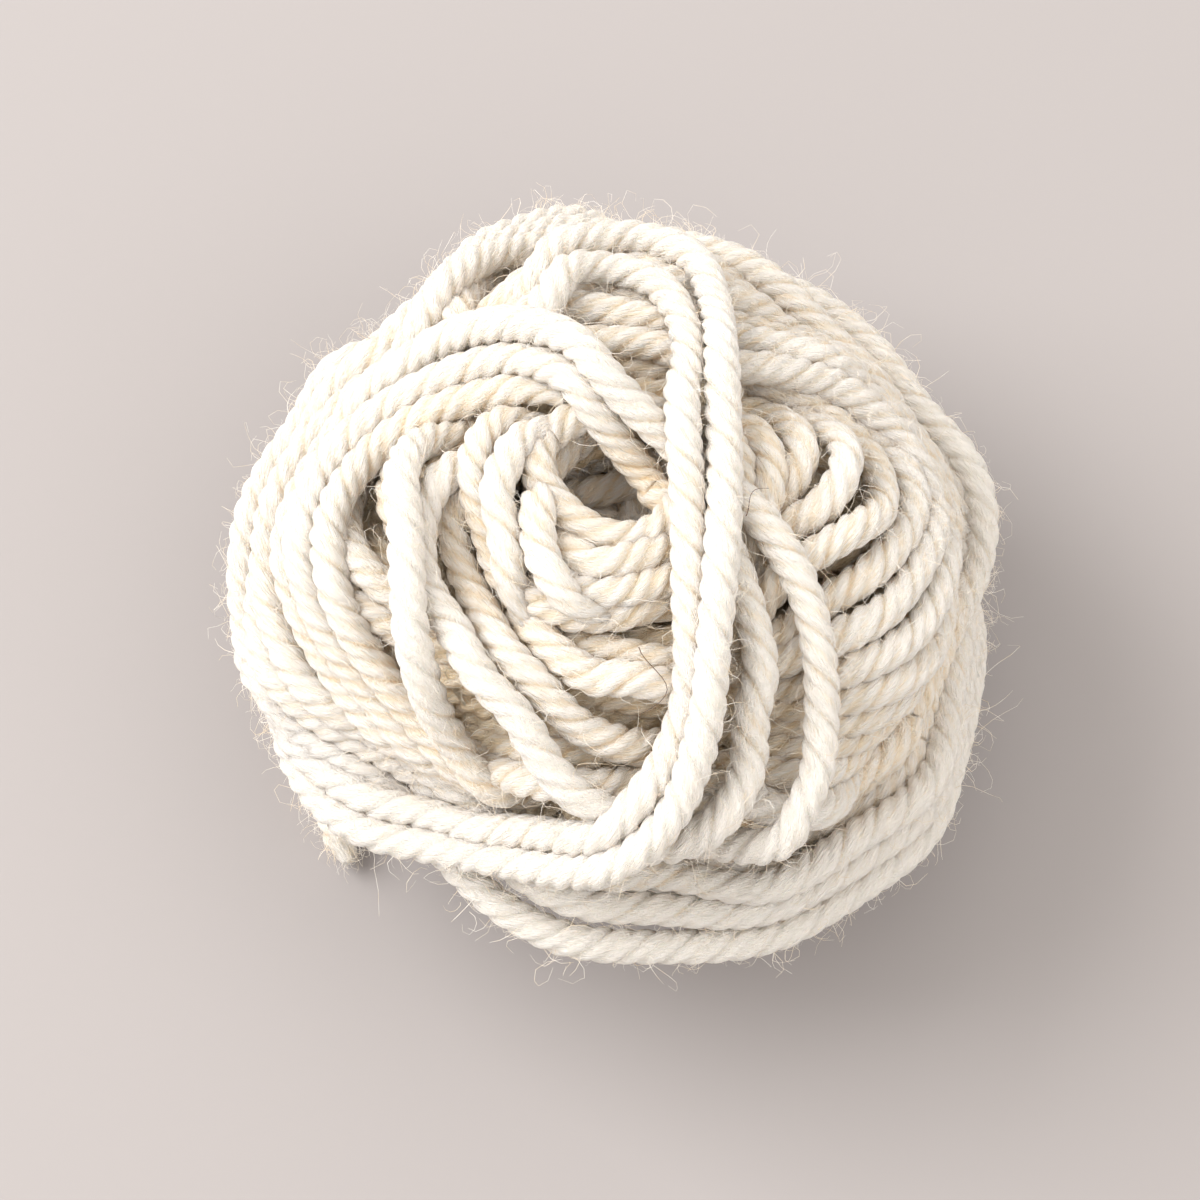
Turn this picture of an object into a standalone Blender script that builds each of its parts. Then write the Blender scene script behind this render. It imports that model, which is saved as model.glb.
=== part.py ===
"""Ball of yarn: thick wool wound by hand into a centre-pull ball, with its loose end.

Metres, +Z up. The ball rests on its small flat spot, and the origin is the middle of that spot.
Compass angles run from +X (0) over +Y (90). Polar angles run down from the top of the ball.
"""

import math

import bmesh
import bpy
import numpy as np

# Driving dimensions
YARN = 0.0038                # thickness of the yarn
FORM_RADIUS = 0.0400         # half width of the wound form under its raised bands
FORM_HALF_HEIGHT = 0.0290    # half height of the wound form under its raised bands
FLAT_SPOT_RADIUS = 0.012     # where the ball settles on the table
HOLLOW_RADIUS = 0.0068       # of the hollow at the top, at its mouth
HOLLOW_FLOOR_RADIUS = 0.0055
HOLLOW_DEPTH = 0.016
RIM_ROUND = 0.0035           # how far the rounded lip of the hollow reaches out and down

# Mesh of the ball
SEGMENTS = 104               # round the axis
FLANK_ROWS = 38              # from the hollow's lip down to the flat spot
WALL_ROWS = 4                # down the hollow
LIP_ROWS = 3

# The main bands of turns, in the order in which they are wound. A band passes the hollow on the
# side "beside" (compass), "gap" from the top (polar), comes round the far flank at "far" (polar),
# and bows off its plane by "bow" of the ball's radius. It shows from "start" to "end", in degrees
# along its turn from its place beside the hollow. Its strands lie "gap_step" apart at the hollow
# and "far_step" apart at the far flank, and stand "height" millimetres proud of the form.
BANDS = [
    dict(name="first", beside=20, gap=22, far=160, strands=6, gap_step=5, far_step=5, height=0.7),
    dict(name="second", beside=140, gap=24, far=155, strands=6, gap_step=5, far_step=5, height=1.0),
    dict(name="third", beside=260, gap=25, far=158, strands=6, gap_step=5, far_step=5, height=1.3),
    dict(name="hem", beside=90, gap=64, far=106, strands=4, gap_step=4, far_step=5, height=1.9),
    dict(name="crown", beside=95, gap=34, far=150, strands=5, gap_step=5, far_step=5, height=1.7),
    dict(name="across", beside=268, gap=44, far=130, strands=8, gap_step=6, far_step=6, height=2.0),
    dict(name="back", beside=135, gap=42, far=100, strands=3, gap_step=5, far_step=5, height=2.4),
    dict(name="right", beside=165, gap=3, far=66, start=95, end=262,
         strands=4, gap_step=6, far_step=6, height=2.6),
    dict(name="outer", beside=150, gap=26, far=92, start=20, end=255,
         strands=3, gap_step=6, far_step=6, height=2.8),
    dict(name="mouth", beside=250, gap=20, far=16, start=-110, end=100,
         strands=3, gap_step=5, far_step=5, height=1.2),
    dict(name="inner", beside=165, gap=32, far=122, strands=2, gap_step=6, far_step=5, height=3.2),
    dict(name="slant", beside=188, gap=24, far=108, strands=2, gap_step=5, far_step=5, height=3.4),
    dict(name="left", beside=60, gap=19, far=84, bow=0.04, start=-30, end=235,
         strands=5, gap_step=4, far_step=5, height=3.6),
    dict(name="pair", beside=62, gap=12, far=75, bow=0.05,
         strands=2, gap_step=4, far_step=6, height=4.6),
    dict(name="top", beside=0, gap=14, far=113, strands=2, gap_step=5, far_step=5, height=5.8),
]
STRAND_SHOULDER = 0.0010     # flat half width of a strand's ridge
STRAND_EDGE = 0.0046         # width of the ridge's rounded edge
STRAND_SAMPLES = 150         # points along a strand from which distances are measured

# Route of the loose end along the table, under the overhang of the ball: compass, distance from
# the axis and height of its middle, from the flank of the ball to the tip.
LOOSE_END_ROUTE = [
    dict(compass=160, reach=0.0356, height=0.0075),
    dict(compass=168, reach=0.0349, height=0.0054),
    dict(compass=178, reach=0.0348, height=0.0034),
    dict(compass=189, reach=0.0350, height=0.0022),
    dict(compass=200, reach=0.0356, height=0.0020),
    dict(compass=210, reach=0.0366, height=0.0020),
    dict(compass=219, reach=0.0382, height=0.0020),
]
ROUTE_STEP = 0.0085          # a point of the tube about every two diameters
LOOSE_END_SIDES = 2          # bevel resolution: eight sides

CREAM = (0.80, 0.74, 0.64, 1.0)


def clear_scene():
    for obj in list(bpy.data.objects):
        bpy.data.objects.remove(obj, do_unlink=True)


def wool(name, colour):
    """Soft matt wool."""
    material = bpy.data.materials.new(name)
    material.use_nodes = True
    shader = material.node_tree.nodes["Principled BSDF"]
    shader.inputs["Base Color"].default_value = colour
    shader.inputs["Roughness"].default_value = 0.95
    shader.inputs["Metallic"].default_value = 0.0
    return material


def strand_path(band, place):
    """Unit directions along one strand of a band, "place" strands from the band's middle."""
    gap = band["gap"] + place * band["gap_step"]
    far = band["far"] + place * band["far_step"]
    beside = math.radians(band["beside"])
    lean = math.radians((far - gap) / 2)
    opening = math.radians((far + gap) / 2)
    up = np.array([0.0, 0.0, 1.0])
    to_near = np.array([math.cos(beside), math.sin(beside), 0.0])
    axis = math.cos(lean) * up - math.sin(lean) * to_near
    near = math.sin(lean) * up + math.cos(lean) * to_near
    side = np.cross(axis, near)
    turn = np.radians(np.linspace(band.get("start", 0), band.get("end", 360), STRAND_SAMPLES))[:, None]
    along_axis = math.cos(opening) + band.get("bow", 0) * np.cos(2 * turn)
    path = along_axis * axis + math.sin(opening) * (np.cos(turn) * near + np.sin(turn) * side)
    return path / np.linalg.norm(path, axis=1)[:, None]


def smooth_step(value):
    value = np.clip(value, 0, 1)
    return value * value * (3 - 2 * value)


def band_relief(directions):
    """How far the bands stand proud in each of these directions."""
    mean_radius = (FORM_RADIUS + FORM_HALF_HEIGHT) / 2
    relief = np.zeros(len(directions))
    for band in BANDS:
        for strand in range(band["strands"]):
            path = strand_path(band, strand - (band["strands"] - 1) / 2)
            nearest = np.clip(directions @ path.T, -1, 1).max(axis=1)
            distance = np.arccos(nearest) * mean_radius
            inside = 1 - (distance - STRAND_SHOULDER) / STRAND_EDGE
            relief = np.maximum(relief, smooth_step(inside) * band["height"] / 1000)
    return relief


def ball_profile():
    """Half outline of the wound form as (radius, height, share of the relief), from the middle of
    the hollow's floor over its lip and down the flank to the edge of the flat spot."""
    lip_polar = math.asin((HOLLOW_RADIUS + RIM_ROUND) / FORM_RADIUS)
    flat_polar = math.pi - math.asin(FLAT_SPOT_RADIUS / FORM_RADIUS)
    lip_height = FORM_HALF_HEIGHT * math.cos(lip_polar)
    floor_height = lip_height - HOLLOW_DEPTH
    wall_top = lip_height - RIM_ROUND
    rows = []
    for row in range(WALL_ROWS):
        share = row / WALL_ROWS
        radius = HOLLOW_FLOOR_RADIUS + share * (HOLLOW_RADIUS - HOLLOW_FLOOR_RADIUS)
        rows.append((radius, floor_height + share * (wall_top - floor_height), 0.0))
    for row in range(LIP_ROWS):
        angle = math.radians(90) * row / LIP_ROWS
        radius = HOLLOW_RADIUS + RIM_ROUND * (1 - math.cos(angle))
        rows.append((radius, wall_top + RIM_ROUND * math.sin(angle), row / LIP_ROWS))
    for row in range(FLANK_ROWS):
        polar = lip_polar + (flat_polar - lip_polar) * row / (FLANK_ROWS - 1)
        rest = smooth_step((FLANK_ROWS - 1 - row) / 3)
        rows.append((FORM_RADIUS * math.sin(polar), FORM_HALF_HEIGHT * math.cos(polar), rest))
    return rows


def ball_points(rows):
    """Points of the ball, one ring for each row of the profile, pushed out by the bands."""
    turn = np.linspace(0, 2 * math.pi, SEGMENTS, endpoint=False)
    rings = []
    for radius, height, share in rows:
        ring = np.stack([radius * np.cos(turn), radius * np.sin(turn), np.full(SEGMENTS, height)], 1)
        form = ring / [FORM_RADIUS, FORM_RADIUS, FORM_HALF_HEIGHT]
        direction = form / np.linalg.norm(form, axis=1)[:, None]
        outward = ring / [FORM_RADIUS**2, FORM_RADIUS**2, FORM_HALF_HEIGHT**2]
        outward /= np.linalg.norm(outward, axis=1)[:, None]
        rings.append(ring + outward * (share * band_relief(direction))[:, None])
    return np.array(rings)


def make_yarn_ball():
    """The wound ball: rings of points, closed by the hollow's floor and by the flat spot."""
    points = ball_points(ball_profile())
    lowest = points[-1, :, 2].min()
    points[:, :, 2] = np.maximum(points[:, :, 2], lowest) - lowest
    middle = (points[:, :, :2].min(axis=(0, 1)) + points[:, :, :2].max(axis=(0, 1))) / 2
    points[:, :, :2] -= middle

    mesh_builder = bmesh.new()
    rings = [[mesh_builder.verts.new(point) for point in ring] for ring in points]
    for upper, lower in zip(rings, rings[1:]):
        for i in range(SEGMENTS):
            j = (i + 1) % SEGMENTS
            mesh_builder.faces.new([upper[i], lower[i], lower[j], upper[j]])
    floor_middle = mesh_builder.verts.new(points[0].mean(axis=0))
    spot_middle = mesh_builder.verts.new(points[-1].mean(axis=0))
    for i in range(SEGMENTS):
        j = (i + 1) % SEGMENTS
        mesh_builder.faces.new([floor_middle, rings[0][i], rings[0][j]])
        mesh_builder.faces.new([spot_middle, rings[-1][j], rings[-1][i]])
    bmesh.ops.triangulate(mesh_builder, faces=mesh_builder.faces[:])
    mesh = bpy.data.meshes.new("yarn_ball")
    mesh_builder.to_mesh(mesh)
    mesh_builder.free()
    mesh.shade_smooth()
    mesh.materials.append(wool("wound_wool", CREAM))
    ball = bpy.data.objects.new("yarn_ball", mesh)
    bpy.context.scene.collection.objects.link(ball)
    return ball


def smooth_route(points, step):
    """Points at even steps along a smooth curve through the given ones (Catmull-Rom)."""
    ends = [2 * points[0] - points[1], *points, 2 * points[-1] - points[-2]]
    fine = []
    for before, start, end, after in zip(ends, ends[1:], ends[2:], ends[3:]):
        for t in np.linspace(0, 1, 16, endpoint=False):
            fine.append(0.5 * (2 * start + (end - before) * t
                               + (2 * before - 5 * start + 4 * end - after) * t**2
                               + (3 * start - before - 3 * end + after) * t**3))
    fine = np.array([*fine, points[-1]])
    reach = np.concatenate([[0], np.cumsum(np.linalg.norm(np.diff(fine, axis=0), axis=1))])
    stops = np.linspace(0, reach[-1], max(2, round(reach[-1] / step)) + 1)
    return np.stack([np.interp(stops, reach, fine[:, axis]) for axis in range(3)], 1)


def make_loose_end():
    """The free end of the yarn, a round tube along the table."""
    points = [np.array([place["reach"] * math.cos(math.radians(place["compass"])),
                        place["reach"] * math.sin(math.radians(place["compass"])),
                        place["height"]]) for place in LOOSE_END_ROUTE]
    route = smooth_route(points, ROUTE_STEP)
    curve = bpy.data.curves.new("loose_end", "CURVE")
    curve.dimensions = "3D"
    curve.bevel_depth = YARN / 2
    curve.bevel_resolution = LOOSE_END_SIDES
    curve.use_fill_caps = True
    spline = curve.splines.new("POLY")
    spline.points.add(len(route) - 1)
    for spline_point, place in zip(spline.points, route):
        spline_point.co = (*place, 1)
    curve.materials.append(wool("end_wool", CREAM))
    end = bpy.data.objects.new("loose_end", curve)
    bpy.context.scene.collection.objects.link(end)
    return end


clear_scene()
make_yarn_ball()
make_loose_end()
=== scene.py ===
# %% [markdown]
# # A hand-wound ball of wool
#
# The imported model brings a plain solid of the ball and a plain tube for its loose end. This
# script keeps their sizes and their places, and makes what a hand would have made: one yarn,
# plied from four threads, laid turn over turn until it is a ball. Everything is in metres, +Z up.

import math

import bmesh
import bpy
import numpy as np
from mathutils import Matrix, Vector


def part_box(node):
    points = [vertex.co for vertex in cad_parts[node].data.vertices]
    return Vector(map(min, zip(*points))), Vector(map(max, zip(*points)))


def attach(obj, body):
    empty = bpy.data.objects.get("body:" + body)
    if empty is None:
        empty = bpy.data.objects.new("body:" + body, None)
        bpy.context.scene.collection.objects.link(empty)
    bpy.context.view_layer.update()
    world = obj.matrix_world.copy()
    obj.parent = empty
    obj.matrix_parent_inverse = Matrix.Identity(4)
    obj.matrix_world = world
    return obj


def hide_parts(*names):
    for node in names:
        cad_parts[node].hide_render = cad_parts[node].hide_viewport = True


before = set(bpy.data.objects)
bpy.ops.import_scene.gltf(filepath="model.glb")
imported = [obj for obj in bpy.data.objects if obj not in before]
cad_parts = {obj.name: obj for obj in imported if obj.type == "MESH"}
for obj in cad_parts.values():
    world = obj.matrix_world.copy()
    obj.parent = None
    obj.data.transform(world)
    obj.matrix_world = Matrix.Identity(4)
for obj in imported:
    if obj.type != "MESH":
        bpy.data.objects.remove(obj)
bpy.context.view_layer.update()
ball_low, ball_high = (np.array(corner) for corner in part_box("yarn_ball"))
print("ball is", (ball_high - ball_low).round(4), "m")

# %% [markdown]
# ## Sizes
#
# A winder has only three sizes to think of: how thick the yarn is, how wide the ball should be,
# and how wide the hollow stays that the yarn is later pulled from. The ball's own sizes come from
# the imported solid, so that the wool fills the solid that stands in for it.

# %% Sizes of the yarn and of the ball
YARN = 0.0038                # thickness of the yarn
PLIES = 4                    # threads twisted together
TWIST_PITCH = 0.0096         # length of yarn in which a ply goes once round
WOUND_DEPTH = 0.0165         # how much of the ball is wound here, over its hidden middle
CENTRE_SHARE = 0.45          # height of the widest place, as a share of the ball's height
SHORTFALL = 0.0017           # how far the mean surface stays inside the ball's widest places
MOUTH = 0.0085               # distance from the axis to the nearest strand at the hollow
OUTER_RISE = 1.10            # half height of the mean surface, as a share of its middle's height

ball_size = ball_high - ball_low
centre = np.array([(ball_low[0] + ball_high[0]) / 2, (ball_low[1] + ball_high[1]) / 2,
                   CENTRE_SHARE * ball_size[2]])
outer_radius = ball_size[0] / 2 - SHORTFALL
outer_half_height = centre[2] * OUTER_RISE
middle_form = np.array([outer_radius, outer_radius, outer_half_height]) - WOUND_DEPTH
print("hidden middle has half axes", middle_form.round(4))

# %% [markdown]
# ## Directions on the ball
#
# Each place on the ball is named by a direction from its middle. A flattened ball bulges in
# every direction by its own amount, so one function turns a direction and a height above the
# hidden middle into a point. Directions are spread evenly by the golden angle, as seeds sit in a
# sunflower, because a grid of meridians would crowd at the hollow, where the detail matters most.

# %% Turn directions into places
SPOTS = 32000                # places where the thickness of the winding is kept
GOLDEN_ANGLE = math.radians(137.50776)


def unit(vectors):
    """The same vectors, each of length one."""
    return vectors / np.linalg.norm(vectors, axis=1)[:, None]


def pointing(compass, down):
    """Directions told by compass and by angle down from the top, in radians."""
    return np.stack([np.sin(down) * np.cos(compass), np.sin(down) * np.sin(compass),
                     np.cos(down)], -1)


def outward(directions):
    """The way out of the ball, square to its surface."""
    return unit(directions / middle_form)


def place(directions, height):
    """The points in some directions, at a height above the hidden middle."""
    height = np.broadcast_to(height, len(directions))
    return centre + directions * middle_form + outward(directions) * height[:, None]


def evenly_spread(count):
    """Directions spread evenly over the whole ball."""
    rank = np.arange(count) + 0.5
    return pointing(GOLDEN_ANGLE * rank, np.arccos(1 - 2 * rank / count))


spots = evenly_spread(SPOTS)
pile = np.zeros(SPOTS)       # height of the wool over each spot
print("the winding is followed at", SPOTS, "spots")

# %% [markdown]
# ## One turn
#
# A turn passes beside the hollow, goes down one flank, comes round the far side and returns. On
# a round form that is nearly a plane cut, so three angles describe it: the compass direction in
# which it passes the hollow, how far from the top it passes, and how far round the other flank it
# reaches. Hands never lay two turns alike, so each also wanders sideways a little, in slow waves.

# %% The way a turn takes
TURN_STEP = 0.0010           # distance between the points of a turn
MEAN_RADIUS = float((outer_radius + outer_half_height) / 2)
WANDER = 0.010               # slow sideways waves, as a share of the ball's radius
rng = np.random.default_rng(24)


def turn_path(beside, gap, far, wander=WANDER):
    """Unit directions along one turn, which starts and ends beside the hollow."""
    compass, lean = math.radians(beside), math.radians((far - gap) / 2)
    opening = math.radians((far + gap) / 2)
    up = np.array([0.0, 0.0, 1.0])
    to_near = np.array([math.cos(compass), math.sin(compass), 0.0])
    axis = math.cos(lean) * up - math.sin(lean) * to_near
    near = math.sin(lean) * up + math.cos(lean) * to_near
    side = np.cross(axis, near)
    length = 2 * math.pi * math.sin(opening) * outer_radius
    turn = np.radians(np.linspace(0, 360, max(8, int(length / TURN_STEP))))
    sway = sum(math.sqrt(1 / wave) * np.cos(wave * turn + phase)
               for wave, phase in zip((2, 3, 5, 8), rng.uniform(0, 2 * math.pi, 4)))
    along_axis = math.cos(opening) + wander * sway
    path = (along_axis[:, None] * axis
            + math.sin(opening) * (np.cos(turn)[:, None] * near + np.sin(turn)[:, None] * side))
    return unit(path)


print("one middling turn has", len(turn_path(0, 30, 150)), "points")

# %% [markdown]
# ## Laying a turn under tension
#
# The yarn rests on whatever it crosses, sinks into it a little because wool is soft, and is
# pulled straight over the gaps between. This could be a physics simulation of a rope, but a
# winder's pull is steady and the ball hardly moves, so a height above the ball is enough: find
# what holds the turn up at each point, draw the line taut over those supports, then raise the
# pile under it.

# %% Lay one turn on the pile
SINK = 0.50                  # share of the yarn's roundness left where it rests on another
TAUT_ROUNDS = 60             # rounds of pulling a strand straight
SOFT_BEND = 7                # points over which a strand rounds its bends
GIVE = 0.0007                # how far a strand presses into a sharp support
AT_HAND = 0.17               # angle from a strand within which spots are looked at, in radians


def near_spots(path, reach):
    """Spots within reach of a path, with the nearest point of the path and their distance."""
    at_hand = np.flatnonzero((spots @ path[::6].T).max(axis=1) > math.cos(AT_HAND))
    nearest = (spots[at_hand] @ path.T).argmax(axis=1)
    level = float(pile.mean())
    distance = np.linalg.norm(place(spots[at_hand], level) - place(path, level)[nearest], axis=1)
    close = distance < reach
    return at_hand[close], nearest[close], distance[close]


def neighbours(line, closed):
    """The heights before and after each point of a line."""
    padded = np.pad(line, 1, mode="wrap" if closed else "edge")
    return padded[:-2], padded[2:]


def taut(support, closed):
    """The lowest line over the supports that never bends outwards more than the ball does."""
    dip = TURN_STEP ** 2 / (2 * MEAN_RADIUS)
    line = support.copy()
    for _ in range(TAUT_ROUNDS):
        before, after = neighbours(line, closed)
        line = np.maximum(support, (before + after) / 2 - dip)
    for _ in range(SOFT_BEND):
        before, after = neighbours(line, closed)
        line = np.maximum((before + 2 * line + after) / 4, support - GIVE)
    return line


def lay(path, closed=True, sunk=0.0):
    """Lays a strand along a path, and returns the height of its middle at each point."""
    radius = YARN / 2
    under, nearest, distance = near_spots(path, radius)
    roundness = np.sqrt(radius ** 2 - distance ** 2)
    support = np.full(len(path), -1.0)
    np.maximum.at(support, nearest, pile[under] + SINK * roundness)
    bare = support < 0
    points = np.arange(len(path))
    support[bare] = np.interp(points[bare], points[~bare], support[~bare])
    line = taut(support, closed) - sunk
    pile[under] = np.maximum(pile[under], line[nearest] + roundness)
    return line


# %% [markdown]
# ## Pressing the ball round
#
# Turns pile up where they cross, so a ball left to itself grows corners. A winder squeezes it
# round between the palms every few turns. Here each palm feels the mean height of the wool
# around it, and everything laid so far moves in or out until all palms feel the same. A palm is
# broad, so the fine relief isn't touched, and a strand that lies over another still does.

# %% Squeeze what is wound so far
PALMS = 800                  # how many places are pressed
PALM_WIDTH = 0.13            # how broadly a palm feels, in radians
LEFT_OUT = 0.22              # share of the ball's radius round the hollow that isn't pressed
BULGES = [                   # where the ball stands out of its round form, or falls short of it
    dict(at=(-0.75, 0.65, 0.2), size=-0.0030, width=0.40),
    dict(at=(0.65, 0.65, 0.3), size=-0.0025, width=0.40),
    dict(at=(0.05, -0.9, -0.3), size=-0.0060, width=0.42),
    dict(at=(1.0, -0.1, -0.2), size=-0.0012, width=0.50),
    dict(at=(-0.62, -0.75, -0.1), size=-0.0115, width=0.32),
]
strands = []                 # every strand laid, in order

palms = evenly_spread(PALMS)
pressed = (np.linalg.norm(spots[:, :2], axis=1) > LEFT_OUT) | (spots[:, 2] < 0)


def palm_shares(directions):
    """How much each palm touches each of some directions."""
    touch = np.exp((directions @ palms.T - 1) / PALM_WIDTH ** 2).astype(np.float32)
    return touch / touch.sum(axis=1)[:, None]


def bulge(directions):
    """How far the finished ball stands out in some directions."""
    out = np.zeros(len(directions))
    for row in BULGES:
        at = np.array(row["at"]) / np.linalg.norm(row["at"])
        out += row["size"] * np.exp((directions @ at - 1) / row["width"] ** 2)
    return out


spot_shares = palm_shares(spots)
palm_weight = spot_shares[pressed].sum(axis=0)


def press(depth):
    """Moves everything wound so far until every palm feels wool of the depth given."""
    felt = spot_shares[pressed].T @ pile[pressed] / palm_weight
    pile[:] -= spot_shares @ felt - depth - bulge(spots)
    for strand in strands:
        path = strand["path"]
        strand["line"] -= palm_shares(path) @ felt - depth - bulge(path)


print(PALMS, "palms of", SPOTS // PALMS, "spots each")

# %% [markdown]
# ## The hidden turns
#
# Below the turns that show lie many that show only in the gaps, and in the walls of the hollow.
# A winder keeps turning the ball so that the next turn falls where the ball is lowest. The same
# rule here keeps it round: of a few turns that the hand could lay next, the one with the least
# wool under it is laid. Every other turn hugs the hollow, which is what keeps it open. The
# first few cross beneath it and close its floor.

# %% Wind the hidden turns
FLOOR_TURNS = [dict(beside=100, gap=7, far=170), dict(beside=275, gap=8, far=165),
               dict(beside=10, gap=9, far=172), dict(beside=190, gap=12, far=160)]
HIDDEN_TURNS = 40
HIDDEN_DEPTH = 0.0115        # mean depth of wool when the hidden turns end
CHOICES = 10                 # turns that the winder might lay next
HUGGING_GAP, OPEN_GAP = (0, 3), (4, 55)   # how far past the hollow turns may pass, in degrees
FAR_REACH = (105, 168)       # how far round the other flank they may reach, in degrees
TURNS_A_PRESS = 5


def wind(name, way):
    """Winds one whole turn."""
    path = turn_path(**way)
    strands.append(dict(name=name, path=path, line=lay(path), closed=True))


for way in FLOOR_TURNS:
    wind("floor", way)
floor_depth = float(pile.mean())
for number in range(HIDDEN_TURNS):
    reach = middle_form[0] + pile.mean()
    hug = math.degrees(math.asin(MOUTH / reach))
    gaps = HUGGING_GAP if number % 2 == 0 else OPEN_GAP
    choices = []
    for _ in range(CHOICES):
        way = dict(beside=rng.uniform(0, 360), gap=hug + rng.uniform(*gaps),
                   far=rng.uniform(*FAR_REACH))
        course = turn_path(**way, wander=0)
        wool_under = pile[(spots @ course[::8].T).argmax(axis=0)].mean()
        choices.append((wool_under, way))
    wind("hidden", min(choices, key=lambda choice: choice[0])[1])
    if (number + 1) % TURNS_A_PRESS == 0:
        press(floor_depth + (HIDDEN_DEPTH - floor_depth) * (number + 1) / HIDDEN_TURNS)
print("hidden turns:", len(strands), "- mean height", round(float(pile.mean()), 4))

# %% [markdown]
# ## The turns that show
#
# The last turns decide how the ball looks, so their courses are told station by station, as a
# sailor would tell a route on a globe: the compass direction and the angle down from the top, in
# degrees. Turns lie side by side in groups, so a third number at each station says how much
# further down the next strand of the group passes. Where a turn slips under one that was laid
# before it, a fourth number says how many millimetres it sinks. Groups come in the order of
# winding, and the last ones are the two strands that cross the whole top.

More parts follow.
